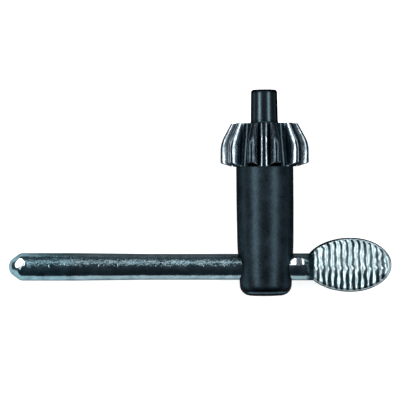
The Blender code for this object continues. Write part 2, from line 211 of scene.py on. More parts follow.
def rounded_path(corners, steps):
    """Points along a polyline of (x, y, corner radius), each corner made an arc with that many steps."""
    path = []
    for i, (x, y, radius) in enumerate(corners):
        corner = Vector((x, y))
        if radius == 0:
            path.append(corner)
            continue
        back = (Vector(corners[i - 1][:2]) - corner).normalized()
        ahead = (Vector(corners[i + 1][:2]) - corner).normalized()
        half_angle = back.angle(ahead) / 2
        centre = corner + (back + ahead).normalized() * radius / math.sin(half_angle)
        start = corner + back * radius / math.tan(half_angle) - centre
        turn = start.angle_signed(corner + ahead * radius / math.tan(half_angle) - centre)
        path += [centre + Matrix.Rotation(-turn * k / steps, 2) @ start for k in range(steps + 1)]
    return path


def finely(path, spacing):
    """The same path with its long stretches divided, as an array of (x, y)."""
    points = [path[0]]
    for before, after in zip(path, path[1:]):
        parts = max(1, math.ceil((after - before).length / spacing))
        points += [before.lerp(after, k / parts) for k in range(1, parts + 1)]
    return np.array([tuple(point) for point in points])


def smooth_step(value, low, high):
    """0 up to the low value and 1 from the high one, with a smooth rise between them."""
    share = np.clip((value - low) / (high - low), 0.0, 1.0)
    return share * share * (3 - 2 * share)


def band(value, rise_start, rise_end, fall_start, fall_end):
    """1 between the rise and the fall, and 0 outside them."""
    return smooth_step(value, rise_start, rise_end) * (1 - smooth_step(value, fall_start, fall_end))


def circle(x, radius, segments):
    """Points round the handle's axis."""
    turns = np.linspace(0, math.tau, segments, endpoint=False)
    return np.stack([np.full_like(turns, x), radius * np.cos(turns), radius * np.sin(turns)], axis=1)


def ringed_mesh(name, rings, first_pole, last_pole, values=None, pole_value=0.0):
    """A closed mesh from rings of points, with a pole at each end and an optional value at each point."""
    count, around, _ = rings.shape
    points = np.vstack([rings.reshape(-1, 3), first_pole, last_pole])
    index = np.arange(count * around).reshape(count, around)
    after = np.roll(index, -1, axis=1)
    quads = np.stack([index[:-1], index[1:], after[1:], after[:-1]], axis=-1).reshape(-1, 4)
    first, last = count * around, count * around + 1
    faces = quads.tolist()
    faces += [(first, int(a), int(b)) for a, b in zip(index[0], after[0])]
    faces += [(last, int(b), int(a)) for a, b in zip(index[-1], after[-1])]
    mesh = bpy.data.meshes.new(name)
    mesh.from_pydata(points.tolist(), [], faces)
    if values is not None:
        attribute = mesh.attributes.new("marks_and_painted_light", "FLOAT", "POINT")
        attribute.data.foreach_set("value", np.append(values.ravel(), [pole_value] * 2).astype(np.float32))
    mesh.validate()
    return mesh


def new_object(name, data, matrix):
    obj = bpy.data.objects.new(name, data)
    bpy.context.scene.collection.objects.link(obj)
    obj.matrix_world = matrix
    return obj


def boolean(obj, operation, others):
    """Joins or cuts a piece with others, keeps the result as its mesh and removes the others."""
    for other in others:
        modifier = obj.modifiers.new(operation, "BOOLEAN")
        modifier.operation = operation
        modifier.solver = "MANIFOLD"
        modifier.object = other
    bpy.context.view_layer.update()
    graph = bpy.context.evaluated_depsgraph_get()
    mesh = bpy.data.meshes.new_from_object(obj.evaluated_get(graph))
    obj.modifiers.clear()
    obj.data = mesh
    for other in others:
        bpy.data.objects.remove(other)


def finish_piece(piece, node, material):
    """Shades the piece, gives it its metal and ties it to the packed model."""
    mesh = piece.data
    points = np.empty(3 * len(mesh.vertices), np.float32)
    mesh.vertices.foreach_get("co", points)
    mesh.attributes.new("place", "FLOAT_VECTOR", "POINT").data.foreach_set("vector", points)
    mesh.transform(piece.matrix_world)
    piece.matrix_world = Matrix()
    mesh.materials.clear()
    mesh.materials.append(material)
    mesh.shade_smooth()
    mesh.set_sharp_from_angle(angle=math.radians(SHARP_ANGLE_DEG))
    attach(piece, "root")
    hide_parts(node)


class Pinion:
    """Outlines of the pinion across the body's axis, with the worn places of its teeth and painted highlights
    on them.
    """

    FLANK_POINTS = 20
    EDGE_POINTS = 7
    LAND_POINTS = 5
    FLANK_SPACING = 0.0001
    TURN_WEIGHT = 0.0010
    KNEE_OUTWARD_SHARE = 0.55
    KNEE_SIDEWAYS_SHARE = 0.3
    KNEE_RADIUS = 0.0038
    KNEE_BY_DEPTH = 2.6
    GAP_OVERRUN = 0.001
    LEAST_DEPTH = 0.0002
    EDGE_BY_LAND = 0.9
    EDGE_BY_DEPTH = 0.3

    # Where the bright colour lies: the meshing flanks, worn and also standing in for part of their highlight,
    # and painted highlights at the foot of some gaps and on the land of the left tooth
    FLANK_WEAR_DEPTHS = (0.3, 0.55)
    FOOT_SLOPES_DEG = (12.0, 18.0, 26.0, 34.0)
    FOOT_TOP_DEPTH = 0.35
    FOOT_PAINTED_HIGHLIGHT = 0.9
    FACING_SIDE = 0.3
    EDGE_WEAR = 0.6
    PAINTED_HIGHLIGHT_SIDES = (0.70, 0.76, 0.90, 0.95)
    LEFT_LAND_PAINTED_HIGHLIGHT = 0.85

    def __init__(self, sizes):
        self.sizes = sizes
        self.bottom_z = sizes.pinion_top_z - sizes.pinion_height
        self.back_land_z = self.bottom_z + sizes.back_cone_height
        self.crown_z = sizes.pinion_top_z - sizes.face_cone_height
        self.half_pitch = math.pi / sizes.tooth_count

    def root_radius(self, z):
        s = self.sizes
        share = (s.pinion_top_z - z) / (s.pinion_top_z - self.back_land_z)
        return (s.gap_top_root_diameter + (s.gap_root_diameter - s.gap_top_root_diameter) * share) / 2

    def gap_path(self, z):
        """One side of a gap at this height, from the middle of its floor outwards."""
        s = self.sizes
        share = min(1.0, max(0.0, (z - self.crown_z) / s.face_cone_height))
        crown = (s.pinion_diameter + (s.pinion_top_diameter - s.pinion_diameter) * share) / 2
        half_mouth = (s.gap_mouth_width + (s.gap_top_mouth_width - s.gap_mouth_width) * share) / 2
        half_floor = s.gap_floor_width / 2
        root = self.root_radius(z)
        mouth_y = math.sqrt(crown**2 - half_mouth**2)
        knee_x = half_floor + self.KNEE_SIDEWAYS_SHARE * (half_mouth - half_floor)
        knee_y = root + self.KNEE_OUTWARD_SHARE * (mouth_y - root)
        slope = (half_mouth - knee_x) / (mouth_y - knee_y)
        knee_radius = min(self.KNEE_RADIUS, self.KNEE_BY_DEPTH * (mouth_y - root))
        path = rounded_path(
            [
                (0.0, root, 0),
                (half_floor, root, s.gap_floor_fillet),
                (knee_x, knee_y, knee_radius),
                (half_mouth + slope * self.GAP_OVERRUN, mouth_y + self.GAP_OVERRUN, 0),
            ],
            ARC_STEPS,
        )
        return finely(path, self.FLANK_SPACING)

    def half_section(self, radius, z):
        """Angles, radii and the values of worn steel and painted highlight from a gap's middle to a land's
        middle, where the blank has this radius.

        The painted highlight at the foot of the gap is negative, because only some gaps get it.
        """
        path = self.gap_path(z)
        reach = np.hypot(path[:, 0], path[:, 1])
        end = int(np.argmax(reach > radius))
        share = (radius - reach[end - 1]) / (reach[end] - reach[end - 1])
        corner = path[end - 1] + (path[end] - path[end - 1]) * share
        flank = np.vstack([path[:end], corner])
        steps = np.diff(flank, axis=0)
        step_lengths = np.hypot(steps[:, 0], steps[:, 1])
        headings = np.unwrap(np.arctan2(steps[:, 1], steps[:, 0]))
        turns = np.abs(np.diff(headings, prepend=headings[0]))
        travel = np.concatenate([[0.0], np.cumsum(step_lengths + self.TURN_WEIGHT * turns)])
        corner_angle = math.atan2(corner[0], corner[1])
        half_land = radius * (self.half_pitch - corner_angle)
        depth = radius - path[0, 1]
        room = min(self.EDGE_BY_LAND * half_land, self.EDGE_BY_DEPTH * depth)
        edge = min(self.sizes.tooth_edge_radius, room)
        stop = travel[-1] - edge
        places = np.linspace(0.0, stop, self.FLANK_POINTS)
        flank = np.stack([np.interp(places, travel, flank[:, axis]) for axis in (0, 1)], axis=1)
        land_start = corner_angle + edge / radius
        land_angles = np.linspace(land_start, self.half_pitch, self.LAND_POINTS)
        land = radius * np.stack([np.sin(land_angles), np.cos(land_angles)], axis=1)
        bend = np.linspace(0.0, 1.0, self.EDGE_POINTS + 2)[1:-1, None]
        rounding = (1 - bend) ** 2 * flank[-1] + 2 * bend * (1 - bend) * corner + bend**2 * land[0]
        outline = np.vstack([flank, rounding, land])
        outward = (np.hypot(flank[:, 0], flank[:, 1]) - path[0, 1]) / depth
        slope = np.degrees(np.interp(places, travel, np.append(headings, headings[-1])))
        foot = band(slope, *self.FOOT_SLOPES_DEG) * (outward < self.FOOT_TOP_DEPTH)
        marks_and_painted_light = np.concatenate(
            [
                np.where(foot > 0, -self.FOOT_PAINTED_HIGHLIGHT * foot, smooth_step(outward, *self.FLANK_WEAR_DEPTHS)),
                np.linspace(self.EDGE_WEAR, 0.0, self.EDGE_POINTS + 2)[1:-1],
                np.zeros(self.LAND_POINTS),
            ]
        )
        return np.arctan2(outline[:, 0], outline[:, 1]), np.hypot(outline[:, 0], outline[:, 1]), marks_and_painted_light

    def ring(self, radius, z):
        """A ring of points with their values of worn steel and painted highlight at this height, toothed
        where the gaps reach it.
        """
        s = self.sizes
        deep_enough = radius > self.root_radius(z) + self.LEAST_DEPTH
        toothed = deep_enough and self.bottom_z <= z <= s.pinion_top_z
        near_z = min(max(z, self.bottom_z), s.pinion_top_z)
        near_radius = s.pinion_diameter / 2
        if z > self.crown_z:
            near_radius = s.pinion_top_diameter / 2 - self.LEAST_DEPTH
        angles, radii, marks_and_painted_light = self.half_section(radius if toothed else near_radius, near_z)
        rounding_end = angles[-self.LAND_POINTS - 2]
        if not toothed:
            radii = np.full_like(radii, radius)
            marks_and_painted_light = np.zeros_like(marks_and_painted_light)
        angles = np.concatenate([-angles[:0:-1], angles[:-1]])
        radii = np.concatenate([radii[:0:-1], radii[:-1]])
        marks_and_painted_light = np.concatenate([marks_and_painted_light[:0:-1], marks_and_painted_light[:-1]])
        turns = s.first_gap_angle + 2 * self.half_pitch * np.arange(s.tooth_count)
        on_land = np.tile(np.abs(angles) >= rounding_end, s.tooth_count) & toothed
        angles = (turns[:, None] + angles[None, :]).ravel()
        # Painted highlight on the lands of the left teeth
        rubbed = self.LEFT_LAND_PAINTED_HIGHLIGHT * band(-np.sin(angles), *self.PAINTED_HIGHLIGHT_SIDES) * on_land
        marks_and_painted_light = np.tile(marks_and_painted_light, s.tooth_count)
        # Only the gaps that face towards or away from the camera get the painted highlight at their foot
        facing = np.abs(np.sin(np.repeat(turns, len(marks_and_painted_light) // len(turns)))) < self.FACING_SIDE
        marks_and_painted_light = np.where(marks_and_painted_light < 0, -marks_and_painted_light * facing, np.maximum(marks_and_painted_light, rubbed))
        radii = np.tile(radii, s.tooth_count)
        points = np.stack([radii * np.sin(angles), -radii * np.cos(angles), np.full_like(radii, z)], axis=1)
        return points, marks_and_painted_light


def body_path(s):
    """The body's outline as (radius, z), from the pilot's tip down to the barrel's end."""
    top_z = s.pinion_top_z
    bottom_z = top_z - s.pinion_height
    barrel_blend = 0.06
    inner_fillet = 0.00015
    upper_seam = 0.0001
    lower_seam = 0.00005
    pilot = rounded_path(
        [
            (0.0, top_z + s.pilot_length, 0),
            (s.pilot_tip_diameter / 2, top_z + s.pilot_length, s.pilot_tip_radius),
            (s.pilot_base_diameter / 2, top_z, s.pilot_base_fillet),
            (s.gap_top_root_diameter / 2 - upper_seam, top_z, 0),
        ],
        ARC_STEPS,
    )
    pinion = rounded_path(
        [
            (s.gap_top_root_diameter / 2, top_z, 0),
            (s.pinion_top_diameter / 2, top_z, s.top_edge_radius),
            (s.pinion_diameter / 2, top_z - s.face_cone_height, s.crown_radius),
            (s.pinion_diameter / 2, bottom_z + s.back_cone_height, s.back_edge_radius),
            (s.back_cone_diameter / 2, bottom_z, s.back_edge_radius),
            (s.gap_root_diameter / 2, bottom_z, 0),
        ],
        ARC_STEPS,
    )
    barrel = rounded_path(
        [
            (s.gap_root_diameter / 2 - lower_seam, bottom_z, 0),
            (s.barrel_diameter / 2, bottom_z, inner_fillet),
            (s.barrel_diameter / 2, bottom_z - s.barrel_straight_length, barrel_blend),
            (s.barrel_waist_diameter / 2, s.barrel_waist_z, barrel_blend),
            (s.barrel_end_diameter / 2, s.barrel_end_z, s.barrel_end_radius),
            (0.0, s.barrel_end_z, 0),
        ],
        ARC_STEPS,
    )
    return np.vstack(
        [
            finely(pilot, PILOT_SPACING)[1:],
            finely(pinion[1:-1], PINION_SPACING),
            finely(barrel, BARREL_SPACING)[:-1],
        ]
    )


def roughen(mesh, size, depth, bottom=-1.0, top=1.0):
    """Moves the points along their normals by smooth noise, as on a forged or worn face."""
    count = len(mesh.vertices)
    points = np.empty(3 * count, np.float32)
    normals = np.empty(3 * count, np.float32)
    mesh.vertices.foreach_get("co", points)
    mesh.vertices.foreach_get("normal", normals)
    points = points.reshape(-1, 3)
    normals = normals.reshape(-1, 3)
    for i in np.flatnonzero((points[:, 2] > bottom) & (points[:, 2] < top)):
        points[i] += normals[i] * (depth * noise.noise(Vector(points[i]) / size))
    mesh.vertices.foreach_set("co", points.ravel())
    mesh.update()


class OBJECT_OT_chuck_key_body(bpy.types.Operator):
    """Builds the pilot, the pinion and the barrel as one black steel turning"""

    bl_idname = "object.chuck_key_body"
    bl_label = "Add Chuck Key Body"

    TOOTH_GRAIN = 0.0012
    TOOTH_GRAIN_DEPTH = 0.000018

    def execute(self, context):
        sizes = context.scene.chuck_key_body
        handle = context.scene.chuck_key_handle
        pinion = Pinion(sizes)
        path = body_path(sizes)
        rings = [pinion.ring(radius, z) for radius, z in path]
        mesh = ringed_mesh(
            "key_body_surface",
            np.array([points for points, _ in rings])[::-1],
            (0.0, 0.0, sizes.barrel_end_z),
            (0.0, 0.0, sizes.pinion_top_z + sizes.pilot_length),
            np.array([marks_and_painted_light for _, marks_and_painted_light in rings])[::-1],
        )
        matrix = key_matrix(sizes, handle)
        body = new_object("key_body_surface", mesh, matrix)
        roughen(mesh, self.TOOTH_GRAIN, self.TOOTH_GRAIN_DEPTH, pinion.bottom_z, sizes.pinion_top_z)
        boolean(body, "DIFFERENCE", [self.hole_cutter(sizes, handle, matrix)])
        finish_piece(body, "key_body", black_oxide_steel(context.scene))
        return {"FINISHED"}

    def hole_cutter(self, sizes, handle, matrix):
        """The snug cross hole, a little out of square as the handle is."""
        radius = handle.neck_diameter / 2 + sizes.hole_clearance
        reach = sizes.barrel_diameter
        rings = np.array([circle(x, radius, HOLE_SEGMENTS) for x in (reach, -reach)])
        mesh = ringed_mesh("cross_hole", rings, (reach, 0.0, 0.0), (-reach, 0.0, 0.0))
        return new_object("cross_hole", mesh, matrix @ Matrix.Rotation(handle.lean, 4, "Y"))


def rod_path(body, s):
    """The rod's outline as (radius, x), from inside the tab back to the nose."""
    neck_start = body.barrel_diameter / 2
    ramp_start = neck_start + s.neck_length
    rod_end = ramp_start + s.ramp_length * s.neck_diameter / (s.neck_diameter - s.tab_thickness)
    cone_start = s.free_end_x + s.nose_length
    upset_start = cone_start + s.upset_length
    neck_blend = 0.01
    upset_blend = 0.2
    return rounded_path(
        [
            (0.0, rod_end, 0),
            (s.neck_diameter / 2, rod_end, 0),
            (s.neck_diameter / 2, neck_start, neck_blend),
            (s.rod_diameter / 2, neck_start - s.neck_swell_length, neck_blend),
            (s.rod_diameter / 2, upset_start + s.upset_taper_length, upset_blend),
            (s.free_end_diameter / 2, upset_start, upset_blend),
            (s.free_end_diameter / 2, cone_start, s.shoulder_radius),
            (s.nose_flat_diameter / 2, s.free_end_x, s.nose_radius),
            (0.0, s.free_end_x, 0),
        ],
        ROD_ARC_STEPS,
    )


class ThumbTab:
    """The oval, serrated tab in the handle's own frame."""

    STATIONS = 260
    FACE_POINTS = 72
    END_CLUSTER = 0.6
    WALL_VALUE = 2.0

    # The lands as the press left them: kinked below the middle, hooked back at the top and slightly wavy
    KINK_Z = -0.0009
    KINK_Z_SPREAD = 0.00025
    KINK_SIZE = 0.00045
    KINK_SHIFT = 0.00034
    KINK_SPREAD = 0.35
    KINK_SHALLOWING = 0.4
    BELOW_KINK = (0.0, 0.0004)
    BELOW_SHIFT = 0.00010
    HOOK = (-0.0016, -0.0001)
    HOOK_SHIFT = 0.0005
    HOOK_SPREAD = 0.0002
    WAVE_HEIGHT = 0.00006
    WAVE_LENGTH = 0.0006
    WAVE_STEP = 1.9
    UNEVEN_STEPS = (2.4, 1.1)
    UNEVEN_START = 0.5
    GROOVE_SHIFT = 0.00024
    SHARPNESS = 1.1
    SHARPNESS_BELOW = 0.15
    BORDER_START = 0.35
    BORDER_END = 1.15
    MIDDLE_DEPTH = 0.85
    FULL_DEPTH = (0.0005, 0.0020)

    # Painted shade along the rim, widest at the root's upper side, and dents near the tip
    SHADED_ROOT_X = (0.001, 0.006)
    SHADED_ROOT_Z = (0.001, 0.003)
    RIM_SHADE_START = 0.00012
    RIM_SHADE_END = 0.00035
    RIM_SHADE_END_AT_ROOT = 0.0004
    RIM_SHADE_VALUE = 0.9
    DENT_DEPTH = 0.00007
    DENTS_START = 0.0040
    DENTS_FULL = 0.0025
    DENT_LENGTH = 0.0004
    DENT_HEIGHT = 0.00055
    DENT_START = 1.3
    DENT_SWAY = 2.0
    DENT_SWAY_HEIGHT = 0.0008

    def __init__(self, body, handle):
        self.s = handle
        self.ramp_start = body.barrel_diameter / 2 + handle.neck_length
        self.face_start = self.ramp_start + handle.ramp_length
        self.centre_x = self.ramp_start - handle.tab_reach_back + handle.tab_inner_length
        self.tip_x = self.centre_x + handle.tab_outer_length
        self.root_x = self.centre_x - handle.tab_inner_length
        self.first_groove = self.face_start + handle.first_serration_distance
        room = self.tip_x - handle.last_serration_distance - self.first_groove
        self.groove_count = 1 + int(room / handle.serration_pitch)

    def lengths(self, x):
        """The oval's half length on this side of its widest place."""
        return np.where(x > self.centre_x, self.s.tab_outer_length, self.s.tab_inner_length)

    def half_width(self, x):
        inside = 1 - ((x - self.centre_x) / self.lengths(x)) ** 2
        return self.s.tab_width / 2 * np.sqrt(np.clip(inside, 0.0, 1.0))

    def rim_distance(self, x, z):
        """About how far inside the oval a point is."""
        lengths = self.lengths(x)
        half = self.s.tab_width / 2
        inside = 1 - ((x - self.centre_x) / lengths) ** 2 - (z / half) ** 2
        slope = 2 * np.hypot((x - self.centre_x) / lengths**2, z / half**2)
        return np.clip(inside, 0.0, 1.0) / np.maximum(slope, 1e-6)

    def grooves(self, x, z):
        """How deep the serrations are here, from 0 to 1, with the press marks of the real tab."""
        s = self.s
        number = np.round((x - self.first_groove) / s.serration_pitch)
        quick, slow = self.UNEVEN_STEPS
        uneven = np.sin(number * quick) * np.sin(number * slow + self.UNEVEN_START)
        kink_z = self.KINK_Z + self.KINK_Z_SPREAD * uneven
        kink = 1 - self.KINK_SPREAD + self.KINK_SPREAD * uneven
        kink = kink * np.exp(-(((z - kink_z) / self.KINK_SIZE) ** 2))
        below = smooth_step(kink_z - z, *self.BELOW_KINK)
        hook = smooth_step(z - self.half_width(x), *self.HOOK)
        hook_shift = (self.HOOK_SHIFT + self.HOOK_SPREAD * uneven) * hook
        wave = self.WAVE_HEIGHT * np.sin(z / self.WAVE_LENGTH + self.WAVE_STEP * number)
        shift = self.KINK_SHIFT * kink - hook_shift - self.GROOVE_SHIFT + self.BELOW_SHIFT * below + wave
        place = (x - shift - self.first_groove) / s.serration_pitch
        from_middle = 2 * np.abs(place - np.round(place))
        cut = (1 - from_middle) ** (self.SHARPNESS - self.SHARPNESS_BELOW * below)
        ends = band(place, -0.5, -0.4, self.groove_count - 0.6, self.groove_count - 0.5)
        from_rim = self.rim_distance(x, z)
        border = smooth_step(from_rim, self.BORDER_START * s.serration_rim, self.BORDER_END * s.serration_rim)
        lower = self.MIDDLE_DEPTH + (1 - self.MIDDLE_DEPTH) * smooth_step(-z, *self.FULL_DEPTH)
        return cut * ends * border * lower * (1 - self.KINK_SHALLOWING * kink)

    def height(self, x, z):
        """Half the tab's thickness here, and how far into a groove or the rim's painted shade the point lies.
        """
        s = self.s
        from_rim = self.rim_distance(x, z)
        rim = np.minimum(from_rim, s.tab_edge_radius)
        rounding = s.tab_edge_radius - np.sqrt(s.tab_edge_radius**2 - (s.tab_edge_radius - rim) ** 2)
        groove = self.grooves(x, z)
        root_side = smooth_step(self.centre_x - x, *self.SHADED_ROOT_X) * smooth_step(z, *self.SHADED_ROOT_Z)
        # Painted shade: a dark band along the rim, widest at the root's upper side
        dirt_and_painted_shade = 1 - smooth_step(from_rim, self.RIM_SHADE_START, self.RIM_SHADE_END + self.RIM_SHADE_END_AT_ROOT * root_side)
        sway = self.DENT_SWAY * np.sin(z / self.DENT_SWAY_HEIGHT)
        lumps = np.sin(x / self.DENT_LENGTH + sway) * np.sin(z / self.DENT_HEIGHT + self.DENT_START)
        near_tip = smooth_step(x, self.tip_x - self.DENTS_START, self.tip_x - self.DENTS_FULL)
        dents = self.DENT_DEPTH * (1 + lumps) * near_tip
        half = s.tab_thickness / 2 - rounding - s.serration_depth * groove - dents
        return half, np.maximum(groove, self.RIM_SHADE_VALUE * dirt_and_painted_shade)

    def mesh(self):
        share = np.linspace(0.0, 1.0, self.STATIONS + 2)[1:-1]
        share = share - self.END_CLUSTER * np.sin(math.tau * share) / math.tau
        across = np.cos(np.linspace(0.0, math.pi, self.FACE_POINTS + 1))
        rings = []
        values = []
        for x in self.root_x + (self.tip_x - self.root_x) * share:
            z = self.half_width(np.array(x)) * across
            half, groove = self.height(x, z)
            ring_y = np.concatenate([-half, [0.0], half[::-1], [0.0]])
            ring_z = np.concatenate([z, [z[-1]], z[::-1], [z[0]]]) + self.s.tab_offset
            rings.append(np.stack([np.full_like(ring_y, x), ring_y, ring_z], axis=1))
            values.append(np.concatenate([groove, [self.WALL_VALUE], groove[::-1], [self.WALL_VALUE]]))
        root, tip = ((x, 0.0, self.s.tab_offset) for x in (self.root_x, self.tip_x))
        return ringed_mesh("thumb_tab", np.array(rings), root, tip, np.array(values), self.WALL_VALUE)


class OBJECT_OT_chuck_key_handle(bpy.types.Operator):
    """Builds the bright rod and its serrated thumb tab as one piece"""

    bl_idname = "object.chuck_key_handle"
    bl_label = "Add Chuck Key Handle"

    TAB_GRAIN = 0.0011
    TAB_GRAIN_DEPTH = 0.00003

    def execute(self, context):
        body = context.scene.chuck_key_body
        handle = context.scene.chuck_key_handle
        matrix = key_matrix(body, handle) @ Matrix.Rotation(handle.lean, 4, "Y")
        tab = ThumbTab(body, handle)
        piece = new_object("cross_handle_surface", self.rod_mesh(body, handle), matrix)
        boolean(piece, "DIFFERENCE", [self.ramp_block(handle, tab, matrix, side) for side in (1, -1)])
        plate = new_object("thumb_tab", tab.mesh(), matrix)
        roughen(plate.data, self.TAB_GRAIN, self.TAB_GRAIN_DEPTH)
        boolean(piece, "UNION", [plate])
        finish_piece(piece, "cross_handle", plated_steel(context.scene, tab))
        return {"FINISHED"}

    def nose_flat(self, handle):
        """A tilted square flat struck on the nose, with short sloping walls round it."""
        x = handle.free_end_x + handle.nose_length - 0.0003
        z = 0.00088
        half_side = 0.00118
        flatness = 0.74
        turn = math.radians(22)
        struck_depth = 0.00056
        tilt_x, tilt_z = -0.33, 0.20
        wall_start, wall_end = 0.95, 1.25
        normal = np.array([tilt_x, -math.sqrt(1 - tilt_x**2 - tilt_z**2), tilt_z])
        surface = np.array([x, -math.sqrt((handle.free_end_diameter / 2) ** 2 - z**2), z])
        floor = surface - struck_depth * normal

        def cut(rings):
            along = rings[..., 0] - x
            up = rings[..., 2] - z
            across = along * math.cos(turn) + up * math.sin(turn)
            upright = (up * math.cos(turn) - along * math.sin(turn)) / flatness
            edge = ((np.abs(across) ** 4 + np.abs(upright) ** 4) ** 0.25) / half_side
            inside = 1.0 - smooth_step(edge, wall_start, wall_end)
            depth = np.maximum((rings - floor) @ normal, 0.0) * inside
            return depth[..., None] * normal, edge < wall_end

        return cut

    def neck_mark(self, body, handle):
        """A hollow pressed into the neck beside the barrel, to keep the handle in its hole."""
        x = body.barrel_diameter / 2 + 0.0009
        z = 0.00135
        half_length = 0.0023
        half_height = 0.0008
        pressed_depth = 0.0005
        floor_slope = 0.2
        surface = math.sqrt((handle.neck_diameter / 2) ** 2 - z**2)
        towards_viewer = np.array([0.0, -1.0, 0.0])

        def cut(rings):
            along = np.clip((rings[..., 0] - x) / half_length, -1.0, 1.0)
            up = rings[..., 2] - z
            floor_y = -(surface - floor_slope * up) + pressed_depth * np.cos(along * math.pi / 2) ** 2
            over = np.maximum(floor_y - rings[..., 1], 0.0)
            near = (np.abs(up) < half_height) & (over > 0) & (np.abs(along) < 1)
            return over[..., None] * towards_viewer, near

        return cut

    def rod_mesh(self, body, handle):
        """The rod as a turned piece, with both marks pressed into its near side."""
        path = finely(rod_path(body, handle), ROD_SPACING)[1:-1]
        rings = np.array([circle(x, radius, ROD_SEGMENTS) for radius, x in path])
        marks = np.zeros(rings.shape[:2])
        for cut in (self.nose_flat(handle), self.neck_mark(body, handle)):
            over, near = cut(rings)
            near &= rings[..., 1] < 0
            rings = rings - over * near[..., None]
            marks[near & (np.abs(over).sum(axis=-1) > 0)] = -1.0
        return ringed_mesh("rod", rings, (path[0][1], 0.0, 0.0), (handle.free_end_x, 0.0, 0.0), marks)

    def ramp_block(self, handle, tab, matrix, side):
        """A block whose inner face is the slope from the round neck down to the tab's face."""
        size = 4 * handle.neck_diameter
        angle = math.atan2((handle.neck_diameter - handle.tab_thickness) / 2, handle.ramp_length)
        corners = [(x, y, z) for x in (-0.5, 0.5) for y in (-0.5, 0.5) for z in (-0.5, 0.5)]
        faces = [(0, 1, 3, 2), (4, 6, 7, 5), (0, 4, 5, 1), (2, 3, 7, 6), (0, 2, 6, 4), (1, 5, 7, 3)]
        mesh = bpy.data.meshes.new("ramp_block")
        mesh.from_pydata([Vector(corner) * size for corner in corners], [], faces)
        place = (
            Matrix.Translation((tab.ramp_start, side * handle.neck_diameter / 2, 0.0))
            @ Matrix.Rotation(-side * angle, 4, "Z")
            @ Matrix.Translation((0.0, side * size / 2, 0.0))
        )
        return new_object("ramp_block", mesh, matrix @ place)


class Nodes:
    """Short forms for building a material's node tree."""

    def __init__(self, name):
        self.material = bpy.data.materials.new(name)
        self.material.use_nodes = True
        self.tree = self.material.node_tree
        self.shader = self.tree.nodes["Principled BSDF"]
        self.place = self.add("ShaderNodeAttribute", attribute_name="place").outputs["Vector"]

    def add(self, kind, **settings):
        node = self.tree.nodes.new(kind)
        for name, value in settings.items():
            setattr(node, name, value)
        return node

    def feed(self, socket, value):
        if isinstance(value, bpy.types.NodeSocket):
            self.tree.links.new(value, socket)
        else:
            socket.default_value = value

    def put(self, name, value):
        self.feed(self.shader.inputs[name], value)

    def noise(self, scale, detail=3.0, roughness=0.5, place=None, distortion=0.0):
        node = self.add("ShaderNodeTexNoise")
        self.feed(node.inputs["Vector"], place or self.place)
        settings = {"Scale": scale, "Detail": detail, "Roughness": roughness, "Distortion": distortion}
        for name, value in settings.items():
            node.inputs[name].default_value = value
        return node.outputs["Fac"]

    def stretched(self, x, y, z):
        node = self.add("ShaderNodeVectorMath", operation="MULTIPLY")
        self.feed(node.inputs[0], self.place)
        node.inputs[1].default_value = (x, y, z)
        return node.outputs["Vector"]

    def span(self, value, low, high, new_low=0.0, new_high=1.0):
        node = self.add("ShaderNodeMapRange")
        for socket, setting in zip(node.inputs, (value, low, high, new_low, new_high)):
            self.feed(socket, setting)
        return node.outputs["Result"]

    def math(self, operation, first, second=0.0):
        node = self.add("ShaderNodeMath", operation=operation)
        self.feed(node.inputs[0], first)
        self.feed(node.inputs[1], second)
        return node.outputs["Value"]

    times = partialmethod(math, "MULTIPLY")
    plus = partialmethod(math, "ADD")
    minus = partialmethod(math, "SUBTRACT")
    most = partialmethod(math, "MAXIMUM")

    def mix(self, share, first, second):
        node = self.add("ShaderNodeMix", data_type="RGBA")
        self.feed(node.inputs["Factor"], share)
        colours = [socket for socket in node.inputs if socket.type == "RGBA"]
        for socket, value in zip(colours, (first, second)):
            self.feed(socket, value if isinstance(value, bpy.types.NodeSocket) else (*value, 1.0))
        return next(socket for socket in node.outputs if socket.type == "RGBA")

    def shades(self, share, rgb, first, second):
        return self.mix(share, shade(rgb, first), shade(rgb, second))

    def attribute(self, name):
        return self.add("ShaderNodeAttribute", attribute_name=name).outputs["Fac"]

    def bump(self, height, distance, strength=1.0, normal=None):
        node = self.add("ShaderNodeBump")
        node.inputs["Strength"].default_value = strength
        node.inputs["Distance"].default_value = distance
        self.feed(node.inputs["Height"], height)
        if normal is not None:
            self.feed(node.inputs["Normal"], normal)
        return node.outputs["Normal"]

    def axes(self, place=None):
        node = self.add("ShaderNodeSeparateXYZ")
        self.feed(node.inputs[0], place or self.place)
        return node.outputs


def shade(rgb, factor):
    return tuple(min(1.0, channel * factor) for channel in rgb)


def grey(level):
    return (level, level, level)


